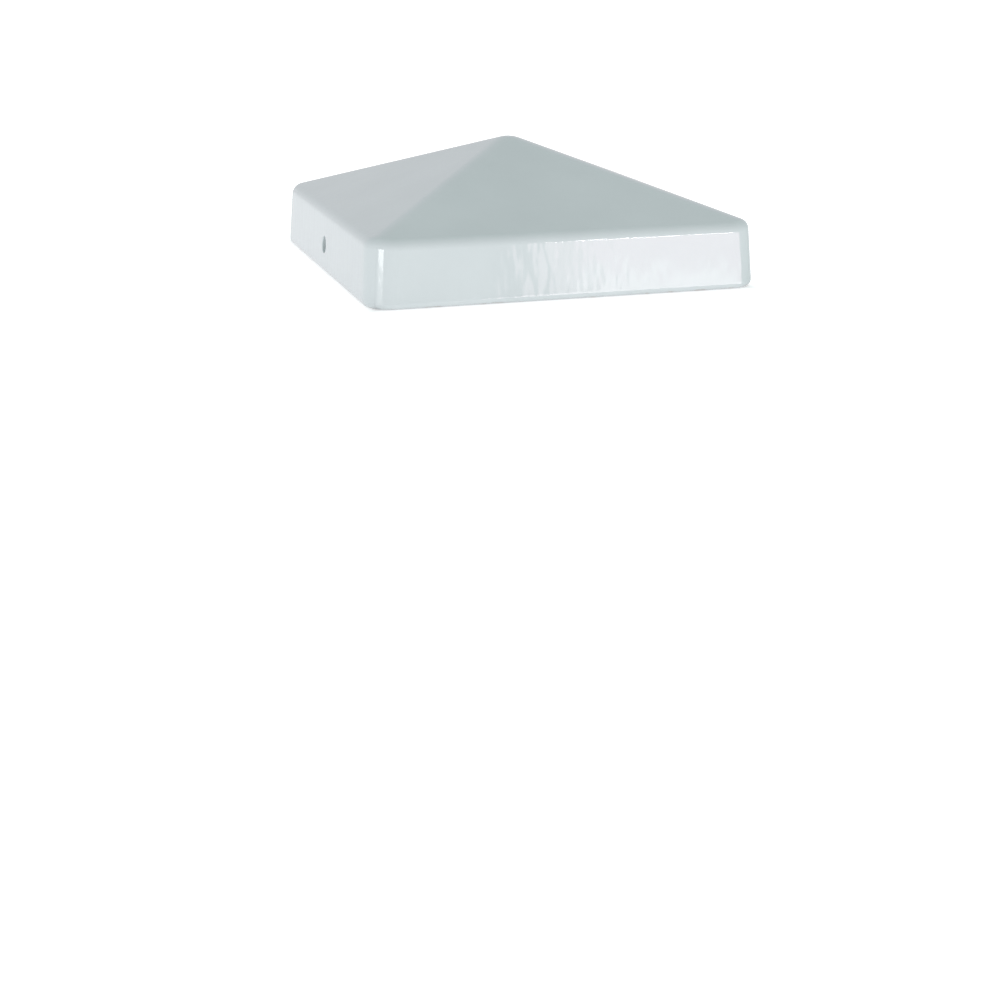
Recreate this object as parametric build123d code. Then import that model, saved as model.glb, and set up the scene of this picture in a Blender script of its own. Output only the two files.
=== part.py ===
from build123d import *

import math
import os

# A square post cap: one coated metal shell with a low pyramid roof over a short
# skirt, and the screw that fixes it to its post through one side.
#
# Frame: +Z up, Z = 0 at the rim, origin in the middle of the rim square. The two
# fixing holes share one axis along X, in the middle of the -X and +X sides. The
# screw is in the +X hole. Lengths are millimetres and angles are degrees.

# Shell, measured outside the coat. The fold line is where the flat roof and the
# flat skirt would meet with no rounding, and the rim width is taken before the
# rim's own rounding.
RIM_WIDTH = 96.0
FOLD_HEIGHT = 15.1
ROOF_RISE = 17.4
SKIRT_DRAFT = 4.2
CORNER_RADIUS = 6.5
FOLD_RADIUS = 2.7
RIDGE_RADIUS = 8.5

# Wall, metal and coat together, and the rounding of its lower edge.
WALL = 2.5
RIM_OUTER_RADIUS = 1.6
RIM_INNER_RADIUS = 0.4

# Fixing holes: a clearance hole for the screw's thread, with a soft coated edge.
HOLE_HEIGHT = 7.0
HOLE_CLEARANCE = 0.3
HOLE_EDGE_RADIUS = 0.2

# Fixing screw: pan head, cross recess, coarse thread for wood.
THREAD_DIAMETER = 3.5
CORE_DIAMETER = 2.4
THREAD_PITCH = 1.6
THREAD_FLANK = 0.7
SCREW_LENGTH = 20.0
NECK_LENGTH = 1.0
POINT_LENGTH = 4.0
TIP_DIAMETER = 0.3
HEAD_DIAMETER = 7.0
HEAD_HEIGHT = 2.4
HEAD_SIDE = 1.0
HEAD_EDGE_RADIUS = 0.3
RECESS_SPAN = 4.0
RECESS_ARM = 1.0
RECESS_DEPTH = 1.5
RECESS_TAPER = 9.0
SEAT_GAP = 0.05

# How far a cutting body runs past what it cuts.
OVERCUT = 3.0
# The roundest an inner corner gets when the wall is as thick as its outer radius.
SMALLEST_RADIUS = 0.3


def side_x(height):
    """Distance from the middle to the outside of the skirt at a height."""
    return RIM_WIDTH / 2 - height * math.tan(math.radians(SKIRT_DRAFT))


def inner_radius(outer_radius, inset):
    """Radius of a rounded edge once the surface has moved in by the inset."""
    return max(outer_radius - inset, SMALLEST_RADIUS)


# ---- Cap shell ----


def skirt_block(inset, below):
    """Square block whose sides lean in by the draft, with rounded upright corners."""
    lean = math.radians(SKIRT_DRAFT)
    half_width = RIM_WIDTH / 2 - inset / math.cos(lean) + below * math.tan(lean)
    height = below + FOLD_HEIGHT + ROOF_RISE
    base = Pos(0, 0, -below) * Rectangle(2 * half_width, 2 * half_width)
    block = extrude(base, amount=height, taper=SKIRT_DRAFT)
    upright = [edge for edge in block.edges() if edge.bounding_box().size.Z > height / 2]
    return fillet(upright, inner_radius(CORNER_RADIUS, inset))


def roof_block(inset):
    """Pyramid with every hip and its point rounded to one ball radius."""
    slope = math.atan2(ROOF_RISE, side_x(FOLD_HEIGHT))
    ball = inner_radius(RIDGE_RADIUS, inset)
    apex_height = FOLD_HEIGHT + ROOF_RISE - (ball + inset) / math.cos(slope)
    foot_height = -RIM_WIDTH / 2
    foot = (apex_height - foot_height) / math.tan(slope)
    apex = (0, 0, apex_height)
    corners = [(x * foot, y * foot, foot_height) for x, y in ((1, 1), (-1, 1), (-1, -1), (1, -1))]
    sides = [
        Face(Wire.make_polygon([corners[i], corners[(i + 1) % 4], apex], close=True))
        for i in range(4)
    ]
    bottom = Face(Wire.make_polygon(corners, close=True))
    return offset(Solid(Shell(sides + [bottom])), amount=ball, kind=Kind.ARC)


def cap_form(inset, below):
    """The cap's outer form, or the same form moved in evenly by the inset."""
    skirt = skirt_block(inset, below)
    roof = roof_block(inset)
    form = skirt & roof
    fold = new_edges(skirt, roof, combined=form)
    return fillet(fold, inner_radius(FOLD_RADIUS, inset))


def rim_edges(form, inside):
    """Edges in the rim plane, of the outer outline or of the inner one."""
    loops = form.edges().filter_by_position(Axis.Z, -0.001, 0.001)
    inner_side = RIM_WIDTH / 2 - WALL
    chosen = []
    for edge in loops:
        middle = edge @ 0.5
        is_inside = max(abs(middle.X), abs(middle.Y)) < inner_side + SMALLEST_RADIUS
        if is_inside == inside:
            chosen.append(edge)
    return chosen


def drill_holes(shell):
    """Bore both side holes along X and round their coated edges."""
    radius = THREAD_DIAMETER / 2 + HOLE_CLEARANCE
    length = RIM_WIDTH + 2 * OVERCUT
    drill = Pos(0, 0, HOLE_HEIGHT) * Rot(0, 90, 0) * Cylinder(radius, length)
    bored = shell - drill
    mouths = new_edges(shell, drill, combined=bored)
    mouths = [edge for edge in mouths if edge.geom_type != GeomType.LINE]
    return fillet(mouths, HOLE_EDGE_RADIUS)


def cap_shell():
    outer = cap_form(0, 0)
    outer = fillet(rim_edges(outer, inside=False), RIM_OUTER_RADIUS)
    shell = outer - cap_form(WALL, OVERCUT)
    shell = fillet(rim_edges(shell, inside=True), RIM_INNER_RADIUS)
    return drill_holes(shell)


# ---- Fixing screw, made upright with the head's underside at Z = 0 ----


def screw_head():
    """Pan head: flat underside, short upright side and a shallow dome."""
    radius = HEAD_DIAMETER / 2
    crown = HEAD_HEIGHT - HEAD_SIDE
    dome_radius = (radius**2 + crown**2) / (2 * crown)
    half_way = HEAD_HEIGHT - dome_radius + math.sqrt(dome_radius**2 - (radius / 2) ** 2)
    outline = Polyline((0, HEAD_HEIGHT), (0, 0), (radius, 0), (radius, HEAD_SIDE))
    outline += ThreePointArc((radius, HEAD_SIDE), (radius / 2, half_way), (0, HEAD_HEIGHT))
    head = revolve(make_face(Plane.XZ * outline), Axis.Z)
    rings = [edge for edge in head.edges() if edge.geom_type == GeomType.CIRCLE]
    return fillet(rings, HEAD_EDGE_RADIUS)


def core_radius(depth):
    """Radius of the shank under the thread, which tapers to the tip."""
    to_tip = min(SCREW_LENGTH - depth, POINT_LENGTH) / POINT_LENGTH
    return (TIP_DIAMETER + (CORE_DIAMETER - TIP_DIAMETER) * to_tip) / 2


def thread_depth(depth):
    """Height of the thread over the core, which fades out along the point."""
    to_tip = min(SCREW_LENGTH - depth, POINT_LENGTH) / POINT_LENGTH
    return (THREAD_DIAMETER - CORE_DIAMETER) / 2 * to_tip


def screw_shank():
    """Core with one ridge for each turn of the thread, down to the point."""
    outline = [(0, HEAD_HEIGHT / 2), (CORE_DIAMETER / 2, HEAD_HEIGHT / 2)]
    crest = NECK_LENGTH + THREAD_FLANK
    while crest + THREAD_FLANK < SCREW_LENGTH:
        outline.append((core_radius(crest - THREAD_FLANK), THREAD_FLANK - crest))
        outline.append((core_radius(crest) + thread_depth(crest), -crest))
        outline.append((core_radius(crest + THREAD_FLANK), -crest - THREAD_FLANK))
        crest += THREAD_PITCH
    outline.append((TIP_DIAMETER / 2, -SCREW_LENGTH))
    outline.append((0, -SCREW_LENGTH))
    section = make_face(Plane.XZ * Polyline(*outline, close=True))
    return revolve(section, Axis.Z)


def cross_recess():
    """Tapered cross cut down from the top of the dome."""
    cross = Rectangle(RECESS_SPAN, RECESS_ARM) + Rectangle(RECESS_ARM, RECESS_SPAN)
    floor = Pos(0, 0, HEAD_HEIGHT - RECESS_DEPTH) * cross
    return extrude(floor, amount=RECESS_DEPTH + HEAD_SIDE, taper=-RECESS_TAPER)


def fixing_screw():
    """Screw in the +X hole, seated where the leaning skirt stands out furthest."""
    screw = screw_head() + screw_shank() - cross_recess()
    seat = side_x(HOLE_HEIGHT - HEAD_DIAMETER / 2) + SEAT_GAP
    return Pos(seat, 0, HOLE_HEIGHT) * Rot(0, 90, 0) * screw


# ---- Written parts ----

PIECES = {
    "cap_shell": cap_shell,
    "fixing_screw": fixing_screw,
}

os.makedirs("parts", exist_ok=True)
for name, make in PIECES.items():
    export_step(make(), f"parts/{name}.step")
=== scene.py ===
import math

import bmesh
import bpy
from mathutils import Matrix, Vector


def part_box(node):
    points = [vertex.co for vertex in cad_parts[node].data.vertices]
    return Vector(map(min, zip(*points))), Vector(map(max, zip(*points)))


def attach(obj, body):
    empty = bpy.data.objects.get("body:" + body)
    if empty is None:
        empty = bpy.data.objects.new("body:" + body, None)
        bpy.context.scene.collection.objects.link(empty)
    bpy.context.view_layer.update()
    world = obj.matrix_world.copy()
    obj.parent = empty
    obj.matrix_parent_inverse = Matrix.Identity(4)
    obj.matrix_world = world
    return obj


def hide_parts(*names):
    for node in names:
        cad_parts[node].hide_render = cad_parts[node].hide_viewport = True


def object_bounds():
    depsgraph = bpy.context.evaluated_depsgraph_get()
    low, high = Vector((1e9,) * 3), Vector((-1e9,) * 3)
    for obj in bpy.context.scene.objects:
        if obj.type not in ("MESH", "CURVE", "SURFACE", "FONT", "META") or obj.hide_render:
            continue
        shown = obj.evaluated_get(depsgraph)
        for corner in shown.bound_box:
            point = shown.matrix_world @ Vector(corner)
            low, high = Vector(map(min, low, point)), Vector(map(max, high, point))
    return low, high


# The looks of a square post cap: a coated metal shell, kept as the CAD node, and a
# screw with a true helical thread, which stands for the plainer CAD screw.
# Metres throughout, in the frame's axes: +Z up, the rim on the floor at Z = 0.

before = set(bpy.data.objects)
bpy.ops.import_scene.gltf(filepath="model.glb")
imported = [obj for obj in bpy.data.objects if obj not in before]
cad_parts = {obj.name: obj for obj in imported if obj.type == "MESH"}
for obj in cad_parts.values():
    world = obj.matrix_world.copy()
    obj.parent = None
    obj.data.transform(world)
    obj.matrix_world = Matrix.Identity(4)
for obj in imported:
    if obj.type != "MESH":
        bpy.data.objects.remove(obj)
CAD_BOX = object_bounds()

# ---- Camera: a perspective view from the front left, a little above ----

CAMERA_PLACE = (-0.13557, -0.41999, 0.08406)
CAMERA_YAW = math.radians(17.679)
CAMERA_PITCH = math.radians(18.551)
CAMERA_ROLL = math.radians(0.221)
CAMERA_LENS_MM = 62.74
SENSOR_MM = 36.0
CAMERA_CLIP = (0.01, 100.0)

# ---- Studio ----

FLOOR_DROP = 0.00005
FLOOR_HALF_WIDTH = 12.0
FLOOR_COLOUR = (0.80, 0.80, 0.80, 1.0)
FLOOR_ROUGHNESS = 0.9
FLOOR_GLOW = 0.93
# Painted contact shadow: under the cap the floor's glow falls to this share, over this span of
# distances from its box.
FLOOR_PAINTED_SHADOW_DEPTH = 0.35
FLOOR_PAINTED_SHADOW_SPAN = (-0.003, 0.004)
# The surroundings turn to this colour towards +X, over this span of the direction's X.
RIGHT_SHADE = (0.45, 0.54, 0.53, 1.0)
RIGHT_SPAN = (0.55, 0.95)
# Colour of the surroundings by the sine of the elevation, from below to overhead.
SKY = (
    (-1.0, (0.50, 0.48, 0.50, 1.0)),
    (-0.40, (0.60, 0.58, 0.60, 1.0)),
    (-0.12, (0.96, 0.94, 0.97, 1.0)),
    (-0.02, (0.96, 0.94, 0.97, 1.0)),
    (0.02, (0.83, 0.79, 0.82, 1.0)),
    (0.42, (0.75, 0.74, 0.78, 1.0)),
    (0.83, (0.60, 0.69, 0.67, 1.0)),
)
SOFTBOX_DISTANCE = 1.5
# Energy of an area light for each unit of its area and of its brightness.
SOFTBOX_ENERGY = 4.0
# Panels that only show as reflections: span of azimuths and of elevations in degrees,
# and brightness by colour.
SOFTBOXES = (
    ("softbox_right_edge", (17.5, 19.4), (-30.0, 1.5), (1.9, 1.5, 1.6)),
    ("softbox_right", (19.4, 56.0), (-3.6, 1.5), (2.9, 2.05, 2.35)),
    ("softbox_right_high", (19.0, 30.0), (5.6, 6.9), (24.0, 22.2, 22.9)),
    ("softbox_right_low", (19.4, 56.0), (-30.0, -3.6), (4.0, 3.6, 3.7)),
    ("softbox_left", (-66.5, -44.0), (-32.0, -0.5), (1.2, 1.2, 1.2)),
    ("softbox_left_high", (-66.5, -44.0), (-0.5, 6.0), (5.6, 5.6, 5.6)),
)
# One more light in front, in the same terms, that lights but isn't reflected.
FRONT_FILL = ("front_fill", (0.0, 40.0), (0.0, 30.0), (0.28, 0.20, 0.18))

# ---- Coat ----

COAT_DEEP = (0.595, 0.645, 0.655, 1.0)
COAT_PALE = (0.630, 0.680, 0.690, 1.0)
COAT_INSIDE = (0.50, 0.54, 0.55, 1.0)
COAT_SCUFF = (0.46, 0.45, 0.43, 1.0)
COAT_SPECK = (0.16, 0.15, 0.14, 1.0)
COAT_IOR = 1.5
COAT_ROUGHNESS = (0.045, 0.075)
DULLING = 0.28
MOTTLE_SCALE = 45.0
GLOSS_SCALE = 140.0
# The middle part of a noise, where nearly all of its values lie.
NOISE_SPAN = (0.3, 0.7)
WAVE_SCALE = 420.0
WAVE_HEIGHT = 0.000045
PEEL_STRETCH = 0.35
PEBBLE_SCALE = 1500.0
PEBBLE_HEIGHT = 0.0000015
INSIDE_PEEL = 6.0
# The waves are weaker on the roof; they change over this span of heights.
FOLD_SPAN = (0.013, 0.017)
ROOF_WAVES = 0.3
# Rubbed patches: heights over which they thin out, and the noise that shapes them.
SCUFF_SPAN = (0.0003, 0.0016)
SCUFF_SCALE = 260.0
SCUFF_EDGE = (0.56, 0.66)
# Specks: cells for each metre, share of cells without one, and radius in cells.
SPECK_CELLS = 160.0
SPECK_RARITY = 0.985
SPECK_EDGE = (0.03, 0.07)
SPECK_STRENGTH = 0.5

# The outer faces of the shell, which tell its inner surfaces from its outer ones, and
# the depths under them over which the outer coat turns to the inner one.
ROOF_TOP = 0.0325
ROOF_SLOPE = 0.3711
SIDE_FOOT = 0.0480
SIDE_LEAN = 0.0734
INSIDE_SPAN = (0.0017, 0.0023)

# ---- Steel ----

STEEL_DEEP = (0.36, 0.355, 0.345, 1.0)
STEEL_PALE = (0.52, 0.515, 0.50, 1.0)
STEEL_ROUGHNESS = (0.22, 0.36)
STEEL_GRAIN_SCALE = 900.0
STEEL_GRAIN_HEIGHT = 0.00002
STEEL_GRAIN_STRENGTH = 0.3

# ---- Screw sizes that the frame's box doesn't give ----

HEAD_HEIGHT = 0.0024
HEAD_SIDE = 0.0010
HEAD_EDGE = 0.0003
THREAD_RADIUS = 0.00175
CORE_RADIUS = 0.0012
THREAD_PITCH = 0.0016
THREAD_FLANK = 0.0007
NECK_LENGTH = 0.0010
POINT_LENGTH = 0.0040
RECESS_SPAN = 0.0040
RECESS_ARM = 0.0010
RECESS_DEPTH = 0.0015
RECESS_TAPER = math.radians(9.0)
# Points round each ring of the screw, and rings for each turn of its thread.
TURN_STEPS = 48
EDGE_STEPS = 4
DOME_STEPS = 14
SHARP_ANGLE = math.radians(32.0)


def make_camera():
    """Camera looking along its yaw and pitch, rolled a little, with no shift."""
    ahead = Vector((
        math.sin(CAMERA_YAW) * math.cos(CAMERA_PITCH),
        math.cos(CAMERA_YAW) * math.cos(CAMERA_PITCH),
        -math.sin(CAMERA_PITCH),
    ))
    level = Vector((math.cos(CAMERA_YAW), -math.sin(CAMERA_YAW), 0.0))
    down = ahead.cross(level)
    right = level * math.cos(CAMERA_ROLL) - down * math.sin(CAMERA_ROLL)
    up = -(level * math.sin(CAMERA_ROLL) + down * math.cos(CAMERA_ROLL))
    turn = Matrix((right, up, -ahead)).transposed().to_4x4()
    data = bpy.data.cameras.new("camera")
    data.sensor_width = SENSOR_MM
    data.lens = CAMERA_LENS_MM
    data.clip_start, data.clip_end = CAMERA_CLIP
    camera = bpy.data.objects.new("camera", data)
    camera.matrix_world = Matrix.Translation(CAMERA_PLACE) @ turn
    bpy.context.scene.collection.objects.link(camera)
    bpy.context.scene.camera = camera


# ---- Node helpers ----


class Nodes:
    """A node tree with short calls for adding nodes and linking them."""

    def __init__(self, tree):
        self.tree = tree
        tree.nodes.clear()

    def add(self, kind, inputs=None, **settings):
        """New node; inputs are set by socket name, and a socket as a value is linked."""
        node = self.tree.nodes.new(kind)
        for name, value in settings.items():
            setattr(node, name, value)
        for name, value in (inputs or {}).items():
            if isinstance(value, bpy.types.NodeSocket):
                self.tree.links.new(value, node.inputs[name])
            else:
                node.inputs[name].default_value = value
        return node

    def math(self, operation, *values):
        """Output of a math node; its values are numbers or sockets."""
        node = self.tree.nodes.new("ShaderNodeMath")
        node.operation = operation
        for socket, value in zip(node.inputs, values):
            if isinstance(value, bpy.types.NodeSocket):
                self.tree.links.new(value, socket)
            else:
                socket.default_value = value
        return node.outputs["Value"]

    def blend(self, colour, other, share):
        """Colour socket mixed towards another colour by a share from zero to one."""
        node = self.tree.nodes.new("ShaderNodeMix")
        node.data_type = "RGBA"
        self.tree.links.new(share, node.inputs[0])
        self.tree.links.new(colour, node.inputs[6])
        node.inputs[7].default_value = other
        return node.outputs[2]

    def link(self, source, node, name):
        self.tree.links.new(source, node.inputs[name])


def fill_ramp(ramp, stops):
    """Sets a colour ramp to the given places and colours, in rising order."""
    while len(ramp.elements) < len(stops):
        ramp.elements.new(1.0)
    for element, (place, colour) in zip(ramp.elements, stops):
        element.position = place
        element.color = colour


def new_material(name):
    material = bpy.data.materials.new(name)
    material.use_nodes = True
    return material, Nodes(material.node_tree)


# ---- Studio ----


def make_world():
    """Pale surroundings, brightest just below the horizon and dimmer towards +X."""
    world = bpy.data.worlds.new("studio")
    world.use_nodes = True
    bpy.context.scene.world = world
    nodes = Nodes(world.node_tree)
    direction = nodes.add("ShaderNodeTexCoord")
    split = nodes.add("ShaderNodeSeparateXYZ", {"Vector": direction.outputs["Generated"]})
    share = nodes.add(
        "ShaderNodeMapRange",
        {"Value": split.outputs["Z"], "From Min": -1.0, "From Max": 1.0},
    )
    colour = nodes.add("ShaderNodeValToRGB", {"Fac": share.outputs["Result"]})
    fill_ramp(colour.color_ramp, [((sine + 1) / 2, tint) for sine, tint in SKY])
    to_right = nodes.add(
        "ShaderNodeMapRange",
        {"Value": split.outputs["X"], "From Min": RIGHT_SPAN[0], "From Max": RIGHT_SPAN[1]},
    )
    colour = nodes.blend(colour.outputs["Color"], RIGHT_SHADE, to_right.outputs["Result"])
    background = nodes.add("ShaderNodeBackground", {"Color": colour})
    output = nodes.add("ShaderNodeOutputWorld")
    nodes.link(background.outputs["Background"], output, "Surface")


def make_floor():
    """Pale floor that glows as a lit table does, with a painted contact shadow where the glow
    dims under the cap, clear from below.
    """
    mesh = bpy.data.meshes.new("floor")
    half = FLOOR_HALF_WIDTH
    corners = [(-half, -half, -FLOOR_DROP), (half, -half, -FLOOR_DROP)]
    corners += [(half, half, -FLOOR_DROP), (-half, half, -FLOOR_DROP)]
    mesh.from_pydata(corners, [], [(0, 1, 2, 3)])
    floor = bpy.data.objects.new("floor", mesh)
    bpy.context.scene.collection.objects.link(floor)
    material, nodes = new_material("floor")
    place = nodes.add("ShaderNodeTexCoord").outputs["Object"]
    split = nodes.add("ShaderNodeSeparateXYZ", {"Vector": place})
    across = nodes.math("ABSOLUTE", split.outputs["X"])
    deep = nodes.math("ABSOLUTE", split.outputs["Y"])
    # Painted contact shadow: the glow dims under the cap and just around its box.
    glow_with_painted_shadow = nodes.add(
        "ShaderNodeMapRange",
        {
            "Value": nodes.math("MAXIMUM", across, deep),
            "From Min": CAD_BOX[1].y + FLOOR_PAINTED_SHADOW_SPAN[0],
            "From Max": CAD_BOX[1].y + FLOOR_PAINTED_SHADOW_SPAN[1],
            "To Min": FLOOR_GLOW * FLOOR_PAINTED_SHADOW_DEPTH,
            "To Max": FLOOR_GLOW,
        },
        interpolation_type="SMOOTHSTEP",
    )
    paint = nodes.add(
        "ShaderNodeBsdfPrincipled",
        {
            "Base Color": FLOOR_COLOUR,
            "Roughness": FLOOR_ROUGHNESS,
            "Specular IOR Level": 0.0,
            "Emission Color": (1.0, 1.0, 1.0, 1.0),
            "Emission Strength": glow_with_painted_shadow.outputs["Result"],
        },
    )
    clear = nodes.add("ShaderNodeBsdfTransparent")
    side = nodes.add("ShaderNodeNewGeometry")
    mix = nodes.add("ShaderNodeMixShader", {"Fac": side.outputs["Backfacing"]})
    nodes.tree.links.new(paint.outputs["BSDF"], mix.inputs[1])
    nodes.tree.links.new(clear.outputs["BSDF"], mix.inputs[2])
    output = nodes.add("ShaderNodeOutputMaterial")
    nodes.link(mix.outputs["Shader"], output, "Surface")
    mesh.materials.append(material)
    floor.visible_glossy = False


def make_softbox(name, azimuths, elevations, colour):
    """Rectangular light that fills a span of directions from the object, in degrees.

    Azimuth 0 is towards -Y and 90 towards +X; elevation is above the floor.
    """
    target = sum(CAD_BOX, Vector()) / 2
    azimuth = math.radians(sum(azimuths) / 2)
    elevation = math.radians(sum(elevations) / 2)
    away = Vector((
        math.sin(azimuth) * math.cos(elevation),
        -math.cos(azimuth) * math.cos(elevation),
        math.sin(elevation),
    ))
    width = 2 * SOFTBOX_DISTANCE * math.tan(math.radians(azimuths[1] - azimuths[0]) / 2)
    height = 2 * SOFTBOX_DISTANCE * math.tan(math.radians(elevations[1] - elevations[0]) / 2)
    data = bpy.data.lights.new(name, "AREA")
    data.shape = "RECTANGLE"
    data.size = width
    data.size_y = height
    data.energy = SOFTBOX_ENERGY * width * height * max(colour)
    data.color = [value / max(colour) for value in colour]
    light = bpy.data.objects.new(name, data)
    light.location = target + away * SOFTBOX_DISTANCE
    light.rotation_mode = "QUATERNION"
    light.rotation_quaternion = away.to_track_quat("Z", "Y")
    light.visible_camera = False
    light.visible_diffuse = False
    bpy.context.scene.collection.objects.link(light)
    return light


def make_studio():
    """Surroundings, floor and lights, shown with the standard view transform."""
    bpy.context.scene.view_settings.view_transform = "Standard"
    make_world()
    make_floor()
    for name, azimuths, elevations, colour in SOFTBOXES:
        make_softbox(name, azimuths, elevations, colour)
    fill = make_softbox(*FRONT_FILL)
    fill.visible_diffuse = True
    fill.visible_glossy = False


# ---- Materials ----


def coat_material():
    """Glossy light grey powder coat, with orange peel, faint specks and rim scuffs.

    The inside, which the spray gun reaches less well, is duller and rougher.
    """
    material, nodes = new_material("powder_coat")
    place = nodes.add("ShaderNodeTexCoord").outputs["Object"]
    inside = inside_mask(nodes, place)
    scuff = scuff_mask(nodes, place)
    speck = speck_mask(nodes, place)
    mottle = nodes.add(
        "ShaderNodeTexNoise", {"Vector": place, "Scale": MOTTLE_SCALE, "Detail": 4.0}
    )
    colour = nodes.add("ShaderNodeValToRGB", {"Fac": mottle.outputs["Fac"]})
    fill_ramp(colour.color_ramp, list(zip(NOISE_SPAN, (COAT_DEEP, COAT_PALE))))
    colour = nodes.blend(colour.outputs["Color"], COAT_INSIDE, inside)
    colour = nodes.blend(colour, COAT_SCUFF, scuff)
    colour = nodes.blend(colour, COAT_SPECK, speck)
    gloss = nodes.add(
        "ShaderNodeTexNoise", {"Vector": place, "Scale": GLOSS_SCALE, "Detail": 4.0}
    )
    roughness = nodes.add(
        "ShaderNodeMapRange",
        {
            "Value": gloss.outputs["Fac"],
            "From Min": NOISE_SPAN[0],
            "From Max": NOISE_SPAN[1],
            "To Min": COAT_ROUGHNESS[0],
            "To Max": COAT_ROUGHNESS[1],
        },
    )
    dulled = nodes.math("MAXIMUM", inside, scuff)
    roughness = nodes.math("MULTIPLY_ADD", dulled, DULLING, roughness.outputs["Result"])
    shader = nodes.add(
        "ShaderNodeBsdfPrincipled",
        {
            "Base Color": colour,
            "Roughness": roughness,
            "Normal": coat_relief(nodes, place, inside),
            "IOR": COAT_IOR,
        },
    )
    output = nodes.add("ShaderNodeOutputMaterial")
    nodes.link(shader.outputs["BSDF"], output, "Surface")
    return material


def coat_relief(nodes, place, inside):
    """Orange peel: long soft waves, weaker on the roof, and pebbling, deeper inside."""
    stretched = nodes.add(
        "ShaderNodeMapping", {"Vector": place, "Scale": (1.0, 1.0, PEEL_STRETCH)}
    ).outputs["Vector"]
    waves = nodes.add(
        "ShaderNodeTexNoise", {"Vector": stretched, "Scale": WAVE_SCALE, "Detail": 1.0}
    )
    fine = nodes.add(
        "ShaderNodeTexNoise", {"Vector": place, "Scale": PEBBLE_SCALE, "Detail": 2.0}
    )
    depth = nodes.math("MULTIPLY_ADD", inside, INSIDE_PEEL, 1.0)
    fine = nodes.math("MULTIPLY", fine.outputs["Fac"], depth)
    height = nodes.add("ShaderNodeSeparateXYZ", {"Vector": place}).outputs["Z"]
    on_side = nodes.add(
        "ShaderNodeMapRange",
        {
            "Value": height,
            "From Min": FOLD_SPAN[0],
            "From Max": FOLD_SPAN[1],
            "To Min": 1.0,
            "To Max": ROOF_WAVES,
        },
    )
    wave_bump = nodes.add(
        "ShaderNodeBump",
        {
            "Height": waves.outputs["Fac"],
            "Strength": on_side.outputs["Result"],
            "Distance": WAVE_HEIGHT,
        },
    )
    fine_bump = nodes.add(
        "ShaderNodeBump",
        {
            "Height": fine,
            "Strength": 1.0,
            "Distance": PEBBLE_HEIGHT,
            "Normal": wave_bump.outputs["Normal"],
        },
    )
    return fine_bump.outputs["Normal"]


def inside_mask(nodes, place):
    """One on the inner surfaces of the shell, zero on its outer surfaces."""
    split = nodes.add("ShaderNodeSeparateXYZ", {"Vector": place})
    across = nodes.math("ABSOLUTE", split.outputs["X"])
    deep = nodes.math("ABSOLUTE", split.outputs["Y"])
    out = nodes.math("MAXIMUM", across, deep)
    high = split.outputs["Z"]
    under_roof = nodes.math("MULTIPLY_ADD", out, -ROOF_SLOPE, ROOF_TOP)
    under_roof = nodes.math("SUBTRACT", under_roof, high)
    within_side = nodes.math("MULTIPLY_ADD", high, -SIDE_LEAN, SIDE_FOOT)
    within_side = nodes.math("SUBTRACT", within_side, out)
    depth = nodes.math("MINIMUM", under_roof, within_side)
    mask = nodes.add(
        "ShaderNodeMapRange",
        {"Value": depth, "From Min": INSIDE_SPAN[0], "From Max": INSIDE_SPAN[1]},
        interpolation_type="SMOOTHSTEP",
    )
    return mask.outputs["Result"]


def scuff_mask(nodes, place):
    """Small rubbed patches in the coat close to the rim."""
    split = nodes.add("ShaderNodeSeparateXYZ", {"Vector": place})
    near = nodes.add(
        "ShaderNodeMapRange",
        {
            "Value": split.outputs["Z"],
            "From Min": SCUFF_SPAN[0],
            "From Max": SCUFF_SPAN[1],
            "To Min": 1.0,
            "To Max": 0.0,
        },
    )
    patch = nodes.add(
        "ShaderNodeTexNoise", {"Vector": place, "Scale": SCUFF_SCALE, "Detail": 6.0}
    )
    rubbed = nodes.math("MULTIPLY", near.outputs["Result"], patch.outputs["Fac"])
    mask = nodes.add(
        "ShaderNodeMapRange",
        {"Value": rubbed, "From Min": SCUFF_EDGE[0], "From Max": SCUFF_EDGE[1]},
        interpolation_type="SMOOTHSTEP",
    )
    return mask.outputs["Result"]


def speck_mask(nodes, place):
    """A few specks caught in the coat, up to 0.9 mm across, fading towards their edge."""
    cells = nodes.add("ShaderNodeTexVoronoi", {"Vector": place, "Scale": SPECK_CELLS})
    chance = nodes.add("ShaderNodeSeparateColor", {"Color": cells.outputs["Color"]})
    rare = nodes.math("GREATER_THAN", chance.outputs["Red"], SPECK_RARITY)
    dot = nodes.add(
        "ShaderNodeMapRange",
        {
            "Value": cells.outputs["Distance"],
            "From Min": SPECK_EDGE[0],
            "From Max": SPECK_EDGE[1],
            "To Min": SPECK_STRENGTH,
            "To Max": 0.0,
        },
    )
    return nodes.math("MULTIPLY", rare, dot.outputs["Result"])


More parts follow.
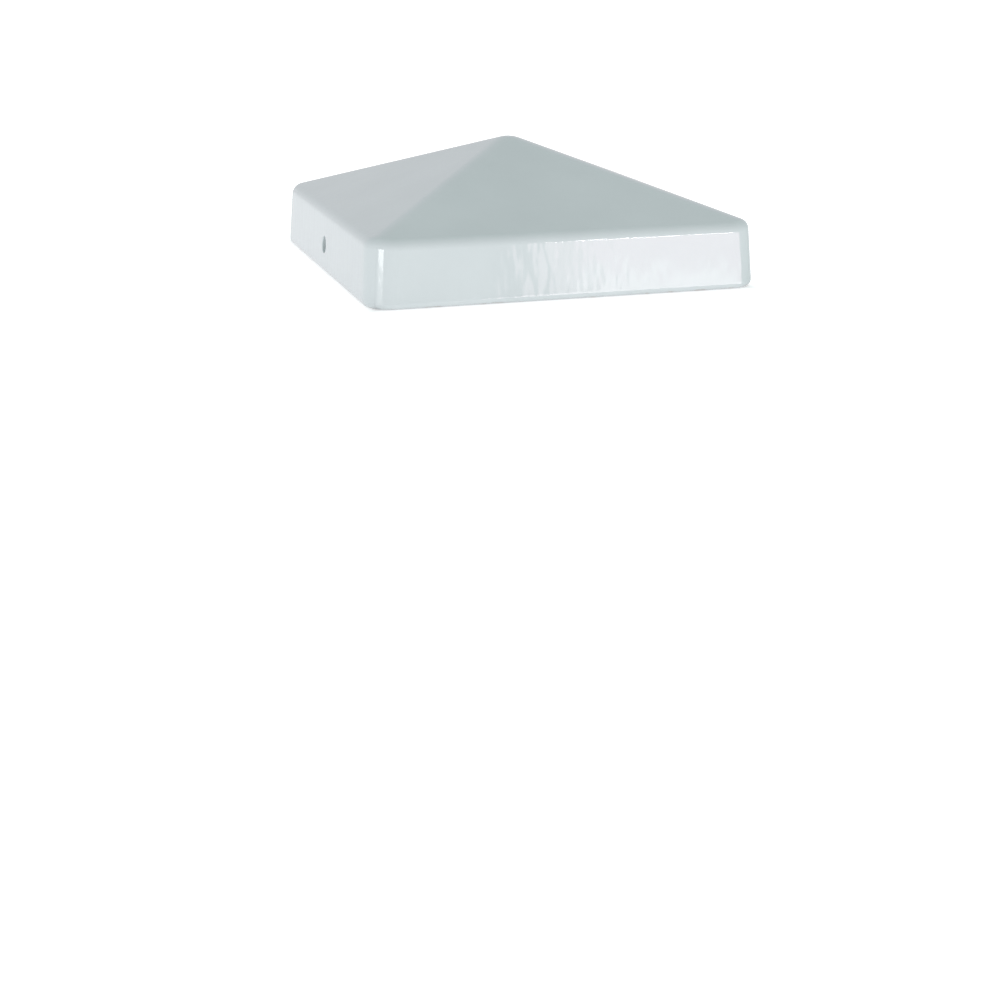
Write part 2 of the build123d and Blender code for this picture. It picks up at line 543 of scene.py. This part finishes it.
def steel_material():
    """Bright stainless steel with a fine grain and a slightly uneven polish."""
    material, nodes = new_material("stainless_steel")
    place = nodes.add("ShaderNodeTexCoord").outputs["Object"]
    noise = nodes.add(
        "ShaderNodeTexNoise", {"Vector": place, "Scale": STEEL_GRAIN_SCALE, "Detail": 4.0}
    )
    colour = nodes.add("ShaderNodeValToRGB", {"Fac": noise.outputs["Fac"]})
    fill_ramp(colour.color_ramp, [(0.0, STEEL_DEEP), (1.0, STEEL_PALE)])
    roughness = nodes.add(
        "ShaderNodeMapRange",
        {
            "Value": noise.outputs["Fac"],
            "From Min": NOISE_SPAN[0],
            "From Max": NOISE_SPAN[1],
            "To Min": STEEL_ROUGHNESS[0],
            "To Max": STEEL_ROUGHNESS[1],
        },
    )
    bump = nodes.add(
        "ShaderNodeBump",
        {
            "Height": noise.outputs["Fac"],
            "Strength": STEEL_GRAIN_STRENGTH,
            "Distance": STEEL_GRAIN_HEIGHT,
        },
    )
    shader = nodes.add(
        "ShaderNodeBsdfPrincipled",
        {
            "Base Color": colour.outputs["Color"],
            "Metallic": 1.0,
            "Roughness": roughness.outputs["Result"],
            "Normal": bump.outputs["Normal"],
        },
    )
    output = nodes.add("ShaderNodeOutputMaterial")
    nodes.link(shader.outputs["BSDF"], output, "Surface")
    return material


# ---- Screw ----


def shank_radius(depth, turn, length):
    """Radius at a depth below the head and a share of a turn, thread included."""
    to_tip = min(length - depth, POINT_LENGTH) / POINT_LENGTH
    core = CORE_RADIUS * max(to_tip, 0.0)
    along = (depth - NECK_LENGTH) / THREAD_PITCH - turn
    from_crest = abs(along - round(along)) * THREAD_PITCH
    ridge = max(0.0, 1.0 - from_crest / THREAD_FLANK)
    run_in = min(1.0, max(0.0, (depth - NECK_LENGTH) / THREAD_PITCH))
    return core + (THREAD_RADIUS - CORE_RADIUS) * ridge * run_in * max(to_tip, 0.0)


def head_outline(radius):
    """Distance from the axis and height of points up the head's side and dome."""
    crown = HEAD_HEIGHT - HEAD_SIDE
    dome = (radius**2 + crown**2) / (2 * crown)
    points = [(radius * share, 0.0) for share in (0.5, 0.7, 0.85)]
    for step in range(EDGE_STEPS + 1):
        angle = math.pi / 2 * step / EDGE_STEPS
        points.append((
            radius - HEAD_EDGE * (1 - math.sin(angle)),
            HEAD_EDGE * (1 - math.cos(angle)),
        ))
    points.append((radius, HEAD_SIDE * 0.6))
    for step in range(DOME_STEPS):
        out = radius * (0.97 - 0.07 * step)
        points.append((out, HEAD_HEIGHT - dome + math.sqrt(dome**2 - out**2)))
    return points


def lathe_screw(length, head_radius):
    """Closed skin of tip, helical thread, neck and head, upright, underside at Z = 0."""
    skin = bmesh.new()
    step = THREAD_PITCH / TURN_STEPS
    count = int(length / step)
    rings = []
    for i in range(1, count):
        depth = length - i * step
        rings.append([
            skin.verts.new(round_point(shank_radius(depth, j / TURN_STEPS, length), j, -depth))
            for j in range(TURN_STEPS)
        ])
    for out, height in [(CORE_RADIUS, 0.0)] + head_outline(head_radius):
        rings.append([skin.verts.new(round_point(out, j, height)) for j in range(TURN_STEPS)])
    tip = skin.verts.new((0.0, 0.0, -length))
    top = skin.verts.new((0.0, 0.0, HEAD_HEIGHT))
    for j in range(TURN_STEPS):
        k = (j + 1) % TURN_STEPS
        skin.faces.new((tip, rings[0][k], rings[0][j]))
        skin.faces.new((top, rings[-1][j], rings[-1][k]))
        for low, high in zip(rings, rings[1:]):
            skin.faces.new((low[j], low[k], high[k], high[j]))
    bmesh.ops.recalc_face_normals(skin, faces=skin.faces)
    mesh = bpy.data.meshes.new("screw")
    skin.to_mesh(mesh)
    skin.free()
    return mesh


def round_point(out, j, height):
    """Point at a distance from the axis, j steps of the turn round it."""
    angle = 2 * math.pi * j / TURN_STEPS
    return (out * math.cos(angle), out * math.sin(angle), height)


def cross_mesh():
    """Tapered cross that cuts the drive recess out of the head."""
    floor_height = HEAD_HEIGHT - RECESS_DEPTH
    top_height = HEAD_HEIGHT + RECESS_DEPTH / 2
    widening = (top_height - floor_height) * math.tan(RECESS_TAPER)
    cross = bmesh.new()
    loops = []
    for height, grow in ((floor_height, 0.0), (top_height, widening)):
        end = RECESS_SPAN / 2 + grow
        arm = RECESS_ARM / 2 + grow
        quarter = [(end, -arm), (end, arm), (arm, arm)]
        loop = []
        for turn in range(4):
            spin = Matrix.Rotation(turn * math.pi / 2, 2)
            loop += [cross.verts.new((*(spin @ Vector(p)), height)) for p in quarter]
        loops.append(loop)
    cross.faces.new(reversed(loops[0]))
    cross.faces.new(loops[1])
    for j in range(12):
        k = (j + 1) % 12
        cross.faces.new((loops[0][j], loops[0][k], loops[1][k], loops[1][j]))
    bmesh.ops.recalc_face_normals(cross, faces=cross.faces)
    mesh = bpy.data.meshes.new("recess")
    cross.to_mesh(mesh)
    cross.free()
    return mesh


def make_screw():
    """Detailed screw in the place of the CAD screw, its axis along X."""
    low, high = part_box("fixing_screw")
    head_radius = (high.y - low.y) / 2
    length = high.x - low.x - HEAD_HEIGHT
    screw = bpy.data.objects.new("pan_head_screw", lathe_screw(length, head_radius))
    cutter = bpy.data.objects.new("recess_cutter", cross_mesh())
    for item in (screw, cutter):
        bpy.context.scene.collection.objects.link(item)
    cut = screw.modifiers.new("recess", "BOOLEAN")
    cut.operation = "DIFFERENCE"
    cut.solver = "EXACT"
    cut.object = cutter
    evaluated = screw.evaluated_get(bpy.context.evaluated_depsgraph_get())
    mesh = bpy.data.meshes.new_from_object(evaluated)
    screw.modifiers.clear()
    screw.data = mesh
    bpy.data.objects.remove(cutter)
    seat = Vector((high.x - HEAD_HEIGHT, (low.y + high.y) / 2, (low.z + high.z) / 2))
    mesh.transform(Matrix.Translation(seat) @ Matrix.Rotation(math.pi / 2, 4, "Y"))
    for polygon in mesh.polygons:
        polygon.use_smooth = True
    mesh.set_sharp_from_angle(angle=SHARP_ANGLE)
    mesh.materials.clear()
    mesh.materials.append(steel_material())
    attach(screw, "screw")
    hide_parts("fixing_screw")


def dress_shell():
    """The CAD shell keeps its shape and gets the coat."""
    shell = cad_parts["cap_shell"]
    shell.data.materials.clear()
    shell.data.materials.append(coat_material())


make_camera()
make_studio()
dress_shell()
make_screw()
